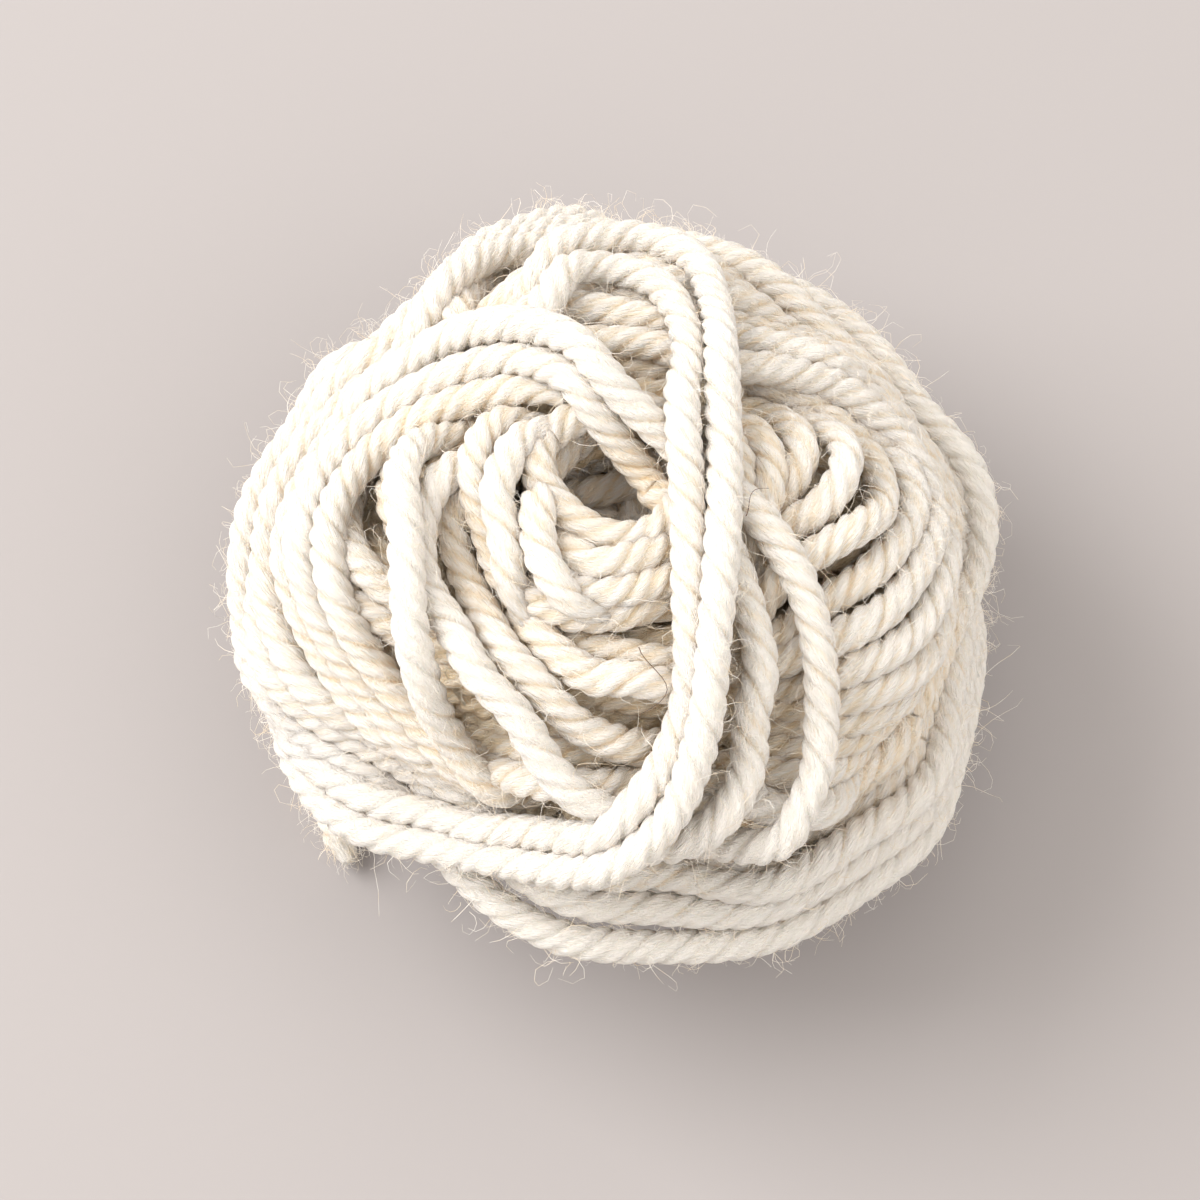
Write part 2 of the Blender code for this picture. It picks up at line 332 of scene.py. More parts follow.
# %% Courses of the groups that show
COURSES = [
    dict(name="arcs", strands=2, stations=[
        (75, 20, 5), (45, 26, 5), (30, 31, 5), (18, 32, 6), (8, 30, 7), (-3, 27, 7),
        (-14, 25, 3), (-30, 26, 3), (-55, 25, 3), (-85, 22, 3), (-110, 22, 3), (-135, 25, 3),
        (-165, 31, 4), (165, 33, 5), (130, 28, 5), (100, 23, 5)]),
    dict(name="bows", strands=2, stations=[
        (65, 32, 7), (40, 35, 7), (27, 41, 6), (16, 47, 6), (7, 47, 7), (-1, 44, 8),
        (-8, 39, 9), (-16, 34, 10), (-28, 31, 8), (-50, 31, 4), (-75, 26, 3), (-100, 25, 3),
        (-125, 28, 4), (-150, 36, 5), (180, 46, 6), (145, 50, 6), (110, 42, 6), (85, 35, 6)]),
    dict(name="across", strands=7, stations=[
        (75, 26, 6), (50, 28, 9), (38, 35, 9), (30, 44, 8), (19, 54, 6), (6, 59, 6),
        (-6, 55, 7), (-20, 50, 8), (-33, 44, 7), (-52, 38, 5), (-75, 30, 4), (-90, 27, 4),
        (-105, 27, 4), (-120, 29, 5), (-135, 33, 5), (-150, 38, 6), (180, 48, 7), (150, 46, 7),
        (120, 36, 7), (95, 27, 7)]),
    dict(name="hem", strands=3, stations=[
        (-30, 82, 6), (-60, 77, 6), (-90, 79, 6), (-120, 84, 7), (-150, 90, 8), (180, 92, 8),
        (140, 84, 8), (100, 72, 8), (60, 68, 8), (30, 72, 7), (0, 80, 7)]),
    dict(name="slants", strands=3, open=True, stations=[
        (140, 14, 1, 2), (160, 18, 1, 2), (180, 22, 2), (-165, 24, 3), (-150, 24, 4),
        (-135, 24, 5), (-123, 26, 5), (-111, 28, 6), (-102, 30, 8), (-95, 31, 10),
        (-84, 32, 12), (-72, 35, 11, 1), (-62, 40, 8, 3)]),
    dict(name="rim", strands=1, open=True, stations=[
        (130, 15, 0, 2), (148, 20, 0), (165, 21, 0), (-178, 21, 0), (-160, 21, 0), (-140, 22, 0),
        (-122, 23, 0), (-105, 22, 0), (-88, 21, 0), (-72, 21, 0), (-55, 23, 0, 1),
        (-30, 24, 0, 1), (-5, 24, 0), (10, 25, 0), (24, 24, 0), (38, 19, 0), (60, 15, 0, 2)]),
    dict(name="rim", strands=1, open=True, stations=[
        (-150, 17, 0, 2), (-130, 18, 0, 1), (-108, 19, 0), (-88, 18, 0), (-68, 18, 0),
        (-45, 19, 0), (-20, 20, 0), (0, 20, 0), (16, 20, 0), (30, 17, 0), (50, 12, 0, 3)]),
    dict(name="rim", strands=1, open=True, stations=[
        (-175, 9, 0, 8), (-148, 11, 0, 2), (-122, 13, 0), (-100, 14, 0), (-78, 13, 0),
        (-55, 13, 0), (-30, 14, 0), (0, 14, 0, 2)]),
    dict(name="rim", strands=1, open=True, stations=[
        (120, 11, 0, 2), (140, 13, 0), (158, 15, 0), (175, 16, 0), (-168, 17, 0), (-155, 18, 0),
        (-143, 20, 0), (-130, 23, 0, 2), (-118, 27, 0, 5)]),
    dict(name="rim", strands=1, open=True, stations=[
        (150, 7, 0, 9), (175, 9, 0, 4), (-162, 11, 0), (-145, 13, 0), (-131, 16, 0),
        (-118, 19, 0), (-104, 21, 0, 2), (-90, 22, 0, 5)]),
    dict(name="upright", strands=1, stations=[
        (150, 28, 0), (165, 30, 0), (180, 30, 0), (-165, 30, 0), (-150, 33, 0), (-141, 37, 0),
        (-134, 42, 0), (-128, 47, 0), (-122, 53, 0), (-114, 59, 0), (-100, 66, 0), (-80, 78, 0),
        (-55, 96, 0), (-20, 118, 0), (30, 122, 0), (80, 105, 0), (110, 72, 0), (130, 44, 0)]),
    dict(name="inside", strands=1, open=True, stations=[
        (118, 14, 0), (130, 20, 0), (142, 26, 0), (155, 34, 0), (168, 41, 0), (-178, 45, 0),
        (-164, 47, 0), (-150, 50, 0), (-136, 53, 0), (-124, 58, 0), (-114, 65, 0), (-104, 73, 0)]),
    dict(name="left", strands=2, stations=[
        (-8, 8, 11), (25, 6, 5), (88, 8, 4), (106, 11, 8), (116, 17, 8), (126, 25, 7),
        (136, 30, 8), (147, 35, 8), (158, 42, 8), (170, 48, 9), (-176, 51, 9), (-162, 54, 8),
        (-148, 57, 7), (-134, 60, 6), (-120, 65, 6), (-106, 72, 6), (-95, 68, 7), (-86, 63, 8),
        (-75, 59, 10), (-65, 51, 13), (-59, 43, 16), (-52, 37, 17), (-43, 28, 17),
        (-28, 18, 14)]),
    dict(name="flank", strands=3, stations=[
        (140, 51, 8), (150, 58, 8), (162, 66, 8), (176, 70, 8), (-170, 74, 8), (-155, 73, 7),
        (-140, 73, 6), (-125, 73, 6), (-107, 76, 6), (-85, 80, 6), (-60, 84, 6), (-30, 93, 6),
        (10, 104, 5), (50, 98, 6), (80, 84, 8), (105, 66, 8), (125, 54, 8)]),
    dict(name="top", strands=2, stations=[
        (-25, 12, 5), (46, 14, 9), (60, 22, 10), (70, 31, 12), (78, 37, 13), (86, 40, 13),
        (95, 40, 11), (101, 37, 12), (107, 33, 12, 2), (115, 30, 11, 5), (130, 35, 5, 6),
        (148, 48, 4, 6), (165, 62, 4, 6), (180, 76, 4, 6), (-165, 86, 4, 5), (-149, 88, 4, 2),
        (-133, 82, 4), (-120, 75, 4), (-106, 65, 5), (-95, 58, 5), (-87, 52, 6), (-79, 45, 6),
        (-71, 35, 6), (-60, 23, 6)]),
]


def catmull_rom(points, closed, per_span=24):
    """A smooth curve through points, which comes back to its start where it is closed."""
    if closed:
        ends = [points[-1], *points, points[0], points[1]]
    else:
        ends = [2 * points[0] - points[1], *points, 2 * points[-1] - points[-2]]
    fine = []
    for before, first, last, after in zip(ends, ends[1:], ends[2:], ends[3:]):
        for t in np.linspace(0, 1, per_span, endpoint=False):
            fine.append(0.5 * (2 * first + (last - before) * t
                               + (2 * before - 5 * first + 4 * last - after) * t ** 2
                               + (3 * first - before - 3 * last + after) * t ** 3))
    return np.array(fine + [points[0] if closed else points[-1]])


def form_angle(down):
    """The angle down as it lies on the finished ball, turned into the angle of the middle."""
    inner = np.linspace(0, math.pi, 400)
    meridian = place(pointing(0 * inner, inner), WOUND_DEPTH) - centre
    return np.interp(down, np.arctan2(meridian[:, 0] / outer_radius,
                                      meridian[:, 2] / outer_half_height), inner)


def station_path(stations, number, sway, closed):
    """Unit directions and sunk depths along a course, for one strand of its group."""
    rows = np.array([[*station, 0][:4] for station in stations], float)
    compass, down, step, sunk = rows.T
    down = form_angle(np.radians(down + number * step + sway * rng.uniform(-1, 1, len(down))))
    curve = catmull_rom(np.column_stack([pointing(np.radians(compass), down), sunk]), closed)
    curve[:, :3] = unit(curve[:, :3])
    reach = place(curve[:, :3], WOUND_DEPTH)
    walked = np.concatenate([[0], np.linalg.norm(np.diff(reach, axis=0), axis=1).cumsum()])
    even = np.linspace(0, walked[-1], int(walked[-1] / TURN_STEP))
    path = np.stack([np.interp(even, walked, curve[:, axis]) for axis in range(4)], 1)
    return unit(path[:, :3]), path[:, 3] * 0.001


print(len(COURSES), "groups of", sum(course["strands"] for course in COURSES), "strands")

# %% [markdown]
# The groups are wound in that order. The ball is pressed after each group, except after the
# strands of the rim.

# %% Wind the groups that show
SWAY = 0.5                   # unevenness of a hand-laid course, in degrees
last_strands = sum(course["strands"] for course in COURSES)
laid = 0
for course in COURSES:
    for number in range(course["strands"]):
        whole = not course.get("open", False)
        path, sunk = station_path(course["stations"], number, SWAY, whole)
        strands.append(dict(name=course["name"], path=path, line=lay(path, whole, sunk),
                            closed=whole))
    laid += course["strands"]
    if course["name"] != "rim":
        press(HIDDEN_DEPTH + (WOUND_DEPTH - HIDDEN_DEPTH) * laid / last_strands)
print("strands:", len(strands), "- mean height", round(float(pile.mean()), 4))

# %% [markdown]
# ## What can be seen of each strand
#
# Wool that lies two strands deep is never seen, and would only cost faces. The lowest the pile
# gets beside each point of a strand tells how deep it is buried. Round the hollow everything is
# kept, because there the eye looks in from the side. A turn that closes on itself is cut where
# the most wool covers it.

# %% Keep the stretches that show
BURIED = 0.0040              # wool over a strand that hides it
LOOK_IN = 0.0165             # distance from the axis inside which all strands are kept
SPARE = 4                    # points kept past each end, tucked under what covers them
SHORTEST = 8                 # points of the shortest stretch that is kept
SEAM_LOW = 0.12              # a turn that is bare all round is closed low on the ball
THINNED = 6                  # points over which an end of the yarn is drawn thin
TIP_SHARE = 0.45             # thickness of a drawn tip, as a share of the yarn's
TABLE_REST = 0.56            # height of a strand's middle on the table, as a share of the yarn
TABLE_SOFTNESS = 0.0009      # how gradually the strands flatten on the table


def cover_over(strand):
    """How much wool lies over each point of a strand, at its least covered side."""
    under, nearest, distance = near_spots(strand["path"], YARN * 0.75)
    least = np.full(len(strand["path"]), np.inf)
    np.minimum.at(least, nearest, pile[under])
    known = np.flatnonzero(np.isfinite(least))
    least = np.interp(np.arange(len(least)), known, least[known])
    return least - (strand["line"] + YARN / 2)


def stretches(keep):
    """First and last index of each run of kept points."""
    edges = np.flatnonzero(np.diff(np.concatenate([[0], keep.astype(int), [0]])))
    return [(first, last) for first, last in zip(edges[::2], edges[1::2])]


def rest_on_table(points):
    """The weight of the ball flattens its lowest strands on the table, softly."""
    least = YARN * TABLE_REST
    points = points.copy()
    points[:, 2] = least + TABLE_SOFTNESS * np.logaddexp(0, (points[:, 2] - least) / TABLE_SOFTNESS)
    return points


def slim_ends(count, at_start, at_end):
    """Thickness along a stretch, as a share of the yarn's: the yarn's own ends are drawn thin."""
    rank = np.arange(count)
    slim = np.ones(count)
    for is_tip, from_tip in ((at_start, rank), (at_end, rank[::-1])):
        if is_tip:
            slim = np.minimum(slim, TIP_SHARE + (1 - TIP_SHARE) * from_tip / THINNED)
    return slim


def route_length(points):
    """Length of a line of points."""
    return float(np.linalg.norm(np.diff(points, axis=0), axis=1).sum())


def shown_stretches(strand):
    """The stretches of a strand that can be seen."""
    cover = cover_over(strand)
    depth = WOUND_DEPTH + bulge(strand["path"]) - strand["line"] - YARN / 2
    points = rest_on_table(place(strand["path"], strand["line"]))
    if strand["closed"]:
        seam = int((cover - SEAM_LOW * points[:, 2]).argmax())
        order = np.roll(np.arange(len(points)), -seam)
        apart = np.linalg.norm(points[order] - points[np.roll(order, 1)], axis=1)
        order = order[apart > TURN_STEP / 4]
        order = np.concatenate([order, order[:3]])
        cover, depth, points = cover[order], depth[order], points[order]
    from_axis = np.linalg.norm(points[:, :2] - centre[:2], axis=1)
    keep = (cover < BURIED) | ((from_axis < LOOK_IN) & (points[:, 2] > centre[2]))
    keep = np.convolve(keep, np.ones(2 * SPARE + 1), "same") > 0
    ends_show = not strand["closed"]
    return [dict(name=strand["name"], points=points[first:last], depth=depth[first:last],
                 slim=slim_ends(last - first, ends_show and first == 0,
                                ends_show and last == len(points)))
            for first, last in stretches(keep) if last - first >= SHORTEST]


runs = [run for strand in strands for run in shown_stretches(strand)]
metres = sum(route_length(run["points"]) for run in runs)
print("stretches that show:", len(runs), "-", round(metres, 2), "m of yarn")

# %% [markdown]
# ## Inside the hollow
#
# The hollow shows the first turns of the winding, which lie as uneven coils, one below the other,
# and a few strands that cross at its foot.

# %% Lay the coils of the hollow
HOLLOW = (0.0003, 0.0012)    # where the hollow's middle is, seen from above
COILS = [
    dict(reach=0.0078, squash=0.92, height=0.0545, tilt=0.10, towards=150),
    dict(reach=0.0075, squash=0.90, height=0.0508, tilt=-0.16, towards=60),
    dict(reach=0.0076, squash=0.95, height=0.0472, tilt=0.18, towards=200),
    dict(reach=0.0072, squash=0.90, height=0.0438, tilt=0.12, towards=20),
]
CROSSINGS = [
    dict(heading=15, aside=0.0024, height=0.0445),
    dict(heading=75, aside=-0.0020, height=0.0430),
    dict(heading=130, aside=0.0010, height=0.0422),
    dict(heading=25, aside=-0.0028, height=0.0432),
]
CROSSING_HALF = 0.0095       # half the length of a crossing
CROSSING_RISE = 0.004        # how far its ends turn up
HOLLOW_SHADE_DEPTH = 0.0010        # how deep its wool counts for its painted shade


def coil(reach, squash, height, tilt, towards):
    """One uneven ring of yarn, leaning towards a compass direction."""
    around = np.linspace(0, 2 * math.pi, 60) + math.radians(towards)
    ripple = 1 + 0.05 * np.sin(3 * around + towards)
    across, forth = reach * ripple * np.cos(around), reach * squash * ripple * np.sin(around)
    lean = tilt * reach * np.cos(around - math.radians(towards)) + 0.0004 * np.sin(2 * around)
    return np.stack([HOLLOW[0] + across, HOLLOW[1] + forth, height + lean], 1)


def crossing(heading, aside, height):
    """One strand across the foot of the hollow."""
    along = np.linspace(-1, 1, 20)
    turn = math.radians(heading)
    flat = np.outer(along * CROSSING_HALF, [math.cos(turn), math.sin(turn)])
    flat += aside * np.array([-math.sin(turn), math.cos(turn)]) + HOLLOW
    return np.column_stack([flat, height + CROSSING_RISE * along ** 4])


for line in [coil(**row) for row in COILS] + [crossing(**row) for row in CROSSINGS]:
    runs.append(dict(name="coils", points=line, depth=np.full(len(line), HOLLOW_SHADE_DEPTH),
                     slim=np.ones(len(line))))
print("coils and crossings in the hollow:", len(COILS), len(CROSSINGS))

# %% [markdown]
# ## Nodes written as sums
#
# Both the shapes and the finishes below are node trees. Wired by hand they are hard to read, so
# one small class wraps a socket and lets Python's own signs add the Math nodes, and one method
# adds any other node from its type, its settings and its values.


# %% A socket that can be added up
class Wire:
    """One output of a node, in a graph."""

    def __init__(self, graph, socket):
        self.graph, self.socket = graph, socket

    def also(self, output):
        """Another output of the same node."""
        return Wire(self.graph, self.socket.node.outputs[output])

    def sum(self, operation, *values):
        return self.graph.add("ShaderNodeMath", dict(operation=operation), dict(enumerate(values)))

    def __add__(self, other):
        return self.sum("ADD", self, other)

    def __sub__(self, other):
        return self.sum("SUBTRACT", self, other)

    def __rsub__(self, other):
        return self.sum("SUBTRACT", other, self)

    def __mul__(self, other):
        return self.sum("MULTIPLY", self, other)

    def __truediv__(self, other):
        return self.sum("DIVIDE", self, other)

    def __pow__(self, other):
        return self.sum("POWER", self, other)

    def __abs__(self):
        return self.sum("ABSOLUTE", self)

    __radd__ = __add__
    __rmul__ = __mul__


class Graph:
    """A node tree that is being built."""

    def __init__(self, tree):
        self.tree = tree

    def join(self, value, socket):
        if isinstance(value, Wire):
            self.tree.links.new(value.socket, socket)
        else:
            socket.default_value = value

    def add(self, kind, settings=None, values=None, out=0):
        """Any node, from its type, its settings and its values."""
        node = self.tree.nodes.new(kind)
        for name, value in (settings or {}).items():
            setattr(node, name, value)
        for key, value in (values or {}).items():
            self.join(value, node.inputs[key])
        return Wire(self, node.outputs[out])

    def shape(self, kind, out=0, **values):
        """A geometry node, which often needs no settings."""
        return self.add("GeometryNode" + kind, None, values, out)

    def named(self, name, kind="FLOAT"):
        """A number or a vector that the geometry carries."""
        return self.add("GeometryNodeInputNamedAttribute", dict(data_type=kind), dict(Name=name))

    def store(self, geometry, name, value, kind="FLOAT"):
        """The same geometry, carrying one number or vector more."""
        return self.add("GeometryNodeStoreNamedAttribute", dict(data_type=kind, domain="POINT"),
                        dict(Geometry=geometry, Name=name, Value=value))

    def vectors(self, operation, values):
        return self.add("ShaderNodeVectorMath", dict(operation=operation), values)

    def upright(self, vector):
        """The height in a vector."""
        return self.add("ShaderNodeSeparateXYZ", None, {0: vector}, out="Z")

    def noise(self, where, scale, **values):
        return self.add("ShaderNodeTexNoise", None, dict(Vector=where, Scale=scale, **values))

    def blend(self, share, light, deep):
        """A colour between a light and a deep one."""
        return self.add("ShaderNodeMix", dict(data_type="RGBA"),
                        {"Factor": share, 6: (*light, 1), 7: (*deep, 1)}, out=2)

    def tube(self, curve, section, scale):
        """A closed tube along a curve."""
        return self.add("GeometryNodeCurveToMesh", None, {
            "Curve": curve, "Profile Curve": section, "Scale": scale, "Fill Caps": True})

    def hair(self, line, radius):
        """A three-sided thread along a line, thinner towards its end."""
        taper = 1 - self.shape("SplineParameter", out="Factor") * 0.6
        drawn = self.shape("SetCurveRadius", Curve=line, Radius=taper)
        return self.tube(drawn, self.shape("CurvePrimitiveCircle", Resolution=3, Radius=radius), taper)


print("nodes can be written as sums")

# %% [markdown]
# A shape tree needs named inputs, a way in and a way out. A modifier is set by each socket's
# identifier, evaluated once, and turned into a plain mesh. A finish starts from the shader's own
# values, given by their names.

# %% Helpers for objects, shape trees and finishes


def stand(name, data):
    """A new object in the scene."""
    made = bpy.data.objects.new(name, data)
    bpy.context.scene.collection.objects.link(made)
    return made


def finish(name, **values):
    """A material whose shader has the given values: (material, graph)."""
    material = bpy.data.materials.new(name)
    material.use_nodes = True
    graph = Graph(material.node_tree)
    for label, value in values.items():
        colour_in(graph, label.replace("_", " "), value)
    return material, graph


def colour_in(graph, label, value):
    """Gives the shader of a finish a value or a wire."""
    graph.join(value, graph.tree.nodes["Principled BSDF"].inputs[label])


def shape_graph(name, inputs):
    """A Geometry Nodes tree with named inputs: (graph, dict of its input wires)."""
    tree = bpy.data.node_groups.new(name, "GeometryNodeTree")
    tree.interface.new_socket("Geometry", in_out="INPUT", socket_type="NodeSocketGeometry")
    for label, kind in inputs:
        tree.interface.new_socket(label, in_out="INPUT", socket_type="NodeSocket" + kind)
    tree.interface.new_socket("Geometry", in_out="OUTPUT", socket_type="NodeSocketGeometry")
    graph = Graph(tree)
    start = tree.nodes.new("NodeGroupInput")
    return graph, {socket.name: Wire(graph, socket) for socket in start.outputs if socket.name}


def close_graph(graph, geometry, material):
    """Ends a tree: instances made real, and the material set."""
    real = graph.shape("RealizeInstances", Geometry=geometry)
    dressed = graph.shape("SetMaterial", Geometry=real, Material=material)
    graph.join(dressed, graph.tree.nodes.new("NodeGroupOutput").inputs[0])


def run_graph(source, graph, name, **values):
    """Runs a tree on an object, and returns its result as a plain mesh object."""
    modifier = source.modifiers.new("shape", "NODES")
    modifier.node_group = graph.tree
    for item in graph.tree.interface.items_tree:
        if item.in_out == "INPUT" and item.name in values:
            modifier[item.identifier] = values[item.name]
    evaluated = source.evaluated_get(bpy.context.evaluated_depsgraph_get())
    mesh = bpy.data.meshes.new_from_object(evaluated)
    source.modifiers.remove(modifier)
    mesh.name = name
    mesh.calc_loop_triangles()
    print(name, "has", len(mesh.loop_triangles), "triangles")
    return stand(name, mesh)


def thread_lines(name, lines, **marks):
    """An object of bare lines, for a tree to follow, with a number of each kind on each point."""
    mesh = bpy.data.meshes.new(name)
    points = np.concatenate(lines)
    firsts = np.concatenate([[0], np.cumsum([len(line) for line in lines])])
    joins = [(i, i + 1) for first, last in zip(firsts, firsts[1:]) for i in range(first, last - 1)]
    mesh.from_pydata(points.tolist(), joins, [])
    for mark, numbers in marks.items():
        layer = mesh.attributes.new(mark, "FLOAT", "POINT")
        layer.data.foreach_set("value", np.concatenate(numbers).astype(np.float32))
    return stand(name, mesh)


print("ready to draw shapes")

# %% [markdown]
# ## The wool's finish
#
# Undyed wool is a warm cream, nearly white where light falls on it and a warm tan deep between
# the strands, because light that bounces from wool to wool is tinted each time. Here that tan is
# painted shade: the finish blends the cream towards tan on buried strands and in the grooves
# between plies. Each ply shows fine fibres along its own lay. The finish reads three things that
# the yarn carries with it: how deep in the groove between two plies a point lies, how deeply the
# strand is buried together with a tone of its own, and a place that winds along with the ply.

# %% Wool


def wool(name, light, deep, bump):
    """Plied wool, cream on its plies, with painted shade towards tan in its grooves and on buried
    strands.
    """
    material, graph = finish(
        name, Roughness=0.95, Specular_IOR_Level=0.15, Sheen_Weight=0.35, Sheen_Roughness=0.6,
        Sheen_Tint=(1.0, 0.93, 0.82, 1), Subsurface_Weight=0.35,
        Subsurface_Radius=(1.0, 0.88, 0.76), Subsurface_Scale=0.0022)
    lay_place = graph.add("ShaderNodeAttribute", dict(attribute_name="lay"), out="Vector")
    groove = graph.add("ShaderNodeAttribute", dict(attribute_name="groove"), out="Fac")
    tone = graph.add("ShaderNodeAttribute", dict(attribute_name="tone"), out="Fac")
    fibres = graph.noise(lay_place, 7.0, Detail=3.0, Roughness=0.7)
    locks = graph.noise(lay_place, 1.6, Detail=2.0)
    # painted shade: towards tan where a strand is buried and deep in the grooves between plies; the
    # fibres and locks are the wool's own streaks
    shade = (1 - tone) * 0.9 + groove * 0.58 + (fibres - 0.5) * 1.6 + (locks - 0.5) * 0.8
    height = fibres * 0.8 + locks * 0.2
    relief = graph.add("ShaderNodeBump", None, dict(Height=height, Strength=bump, Distance=0.0016))
    colour_in(graph, "Base Color", graph.blend(shade, light, deep))
    colour_in(graph, "Normal", relief)
    return material


# deep is the tan of painted shade; light is the wool's own cream
cream = wool("cream_wool", light=(0.98, 0.90, 0.82), deep=(0.94, 0.71, 0.46), bump=1.0)
print("finish:", cream.name)

# %% [markdown]
# ## Plied yarn
#
# Four threads twisted together could be four tubes wound round each other, at four times the
# faces. From outside only their bulges show, so one tube with a four-lobed section, turned as it
# goes along, gives the same look. The tree follows each line with such a section. It turns the
# section against the clock, as most plied wool is, and carries along the two things that the
# finish reads.

# %% The yarn tree
LAY_SPIN = 0.7               # how fast the fibres wind, as a share of how fast the plies do
LAY_STRETCH = 60.0           # how far their pattern moves on in a metre of yarn


def yarn_graph():
    """The tree that turns bare lines into plied yarn."""
    graph, given = shape_graph("plied_yarn", [
        ("Thickness", "Float"), ("Plies", "Float"), ("Pitch", "Float"), ("Ring spacing", "Float"),
        ("Sides", "Int"), ("Groove", "Float"), ("Lumps", "Float"), ("Material", "Material")])
    line = graph.shape("MeshToCurve", Mesh=given["Geometry"])
    rings = graph.add("GeometryNodeResampleCurve", dict(mode="LENGTH"),
                      dict(Curve=line, Length=given["Ring spacing"]))
    along = graph.shape("SplineParameter", out="Length")
    phase, girth = graph.named("phase"), graph.named("girth")
    turned = graph.shape("SetCurveTilt", Curve=rings,
                         Tilt=along / given["Pitch"] * (-2 * math.pi) + phase)
    carried = graph.store(turned, "along", along)
    shaped = graph.shape("SetCurveRadius", Curve=carried, Radius=girth)

    circle = graph.shape("CurvePrimitiveCircle", Resolution=given["Sides"], Radius=1.0)
    angle = graph.shape("InputIndex") * (2 * math.pi) / given["Sides"]
    ply_round = abs(angle.sum("SINE", angle * given["Plies"] / 2)) ** 0.75
    size = 1 - given["Groove"] + given["Groove"] * ply_round
    spot = graph.vectors("SCALE", {0: graph.shape("InputPosition"), 3: size})
    # the finish darkens the groove as painted shade
    marked = graph.store(circle, "groove", 1 - ply_round)
    marked = graph.store(marked, "across", spot, "FLOAT_VECTOR")
    lobed = graph.shape("SetPosition", Geometry=marked,
                        Position=graph.vectors("SCALE", {0: spot, 3: given["Thickness"] / 2}))
    tube = graph.tube(shaped, lobed, girth)

    across, length = graph.named("across", "FLOAT_VECTOR"), graph.named("along")
    spin_angle = length / given["Pitch"] * (-LAY_SPIN * 2 * math.pi)
    spin = graph.add("FunctionNodeAxisAngleToRotation", None, dict(Axis=(0, 0, 1), Angle=spin_angle))
    spun = graph.add("FunctionNodeRotateVector", None, dict(Vector=across, Rotation=spin))
    drawn = graph.add("ShaderNodeCombineXYZ", None, dict(Z=length * LAY_STRETCH + phase))
    lay_place = graph.vectors("ADD", {0: spun, 1: drawn})
    laid = graph.store(tube, "lay", lay_place, "FLOAT_VECTOR")
    lumps = graph.noise(lay_place, 1.3, Detail=1.0)
    outwards = graph.vectors("SCALE", {0: graph.shape("InputNormal"),
                                       3: (lumps - 0.5) * given["Lumps"]})
    uneven_tube = graph.shape("SetPosition", Geometry=laid, Offset=outwards)
    close_graph(graph, graph.shape("SetShadeSmooth", Geometry=uneven_tube), given["Material"])
    return graph


plied_yarn = yarn_graph()
print("the yarn tree has", len(plied_yarn.tree.nodes), "nodes")

# %% [markdown]
# The stretches go through the tree in a few pieces, so that no piece has too many faces. Each
# stretch starts its twist anywhere, is a little thicker here and thinner there, and has a tone
# of its own, since wool is never all one colour. The deeper a stretch is buried, the lower that
# tone is set, so the finish paints it towards tan as painted shade.

# %% Spin the yarn of the ball
RING_SPACING = 0.0006        # distance between the rings of a tube
SIDES = 18                   # sides of a tube
HIDDEN_SPACING, HIDDEN_SIDES = RING_SPACING * 1.6, 8   # the same, for the turns that hardly show
FULL_SHADE_DEPTH = 0.0075           # depth of burial at which painted shade makes the wool fully tan
PLUMP = 1.03                 # how much a strand that isn't pulled tight swells
GROOVE = 0.25                # depth of the groove between plies, as a share of the radius
LUMPS = 0.00022              # how far the wool stands off a true round
PIECES = dict(hidden=("floor", "hidden"), lower=("arcs", "bows", "across", "rim", "coils"),
              upper=("hem", "slants", "upright", "inside"), last=("left", "flank", "top"))


def uneven(count, waves, size):
    """A slow unevenness along a strand, about 1, in waves of the given lengths."""
    along = 2 * math.pi * TURN_STEP * np.arange(count)
    return 1 + size * sum(np.cos(along / wave + rng.uniform(0, 2 * math.pi)) for wave in waves)


def spin(name, chosen, spacing=RING_SPACING, sides=SIDES):
    """Turns the chosen stretches into one piece of yarn."""
    lines = [run["points"] for run in chosen]
    counts = [len(line) for line in lines]
    holder = thread_lines(
        name + "_line", lines,
        girth=[run["slim"] * uneven(len(run["slim"]), (0.019, 0.043, 0.083), 0.025)
               for run in chosen],
        phase=[rng.uniform(0, 2 * math.pi) + uneven(count, (0.06, 0.13), 0.5) for count in counts],
        # painted shade: a buried stretch gets a lower value, which the finish paints towards tan; the
        # random part is the wool's own tone
        tone=[np.clip(rng.uniform(0.9, 1.05) - run["depth"] / FULL_SHADE_DEPTH, 0, 5) for run in chosen])
    made = run_graph(holder, plied_yarn, name, **{
        "Thickness": YARN * PLUMP, "Plies": float(PLIES), "Pitch": TWIST_PITCH,
        "Ring spacing": spacing, "Sides": sides, "Groove": GROOVE, "Lumps": LUMPS,
        "Material": cream})
    bpy.data.objects.remove(holder, do_unlink=True)
    return made


turns = []
for part, names in PIECES.items():
    chosen = [run for run in runs if run["name"] in names]
    coarse = (HIDDEN_SPACING, HIDDEN_SIDES) if part == "hidden" else ()
    turns.append(spin("turns_" + part, chosen, *coarse))

# %% [markdown]
# ## The hidden middle
#
# Between the strands the eye must meet wool, not daylight, so a closed body of packed wool fills
# the ball just below them. It is painted a warm tan, as painted shade of the deep gaps, in random
# patches.

# %% Pack the middle
PACKED_BELOW = 0.0066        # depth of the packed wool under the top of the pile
HOLLOW_WALL = 0.0112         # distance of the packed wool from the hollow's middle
HOLLOW_FOOT = 0.0400         # height of the hollow's foot
DEEPEST = -0.0070            # how far it may lie below the hidden middle's own surface
OFF_TABLE = 0.0012           # how far it stays above the table


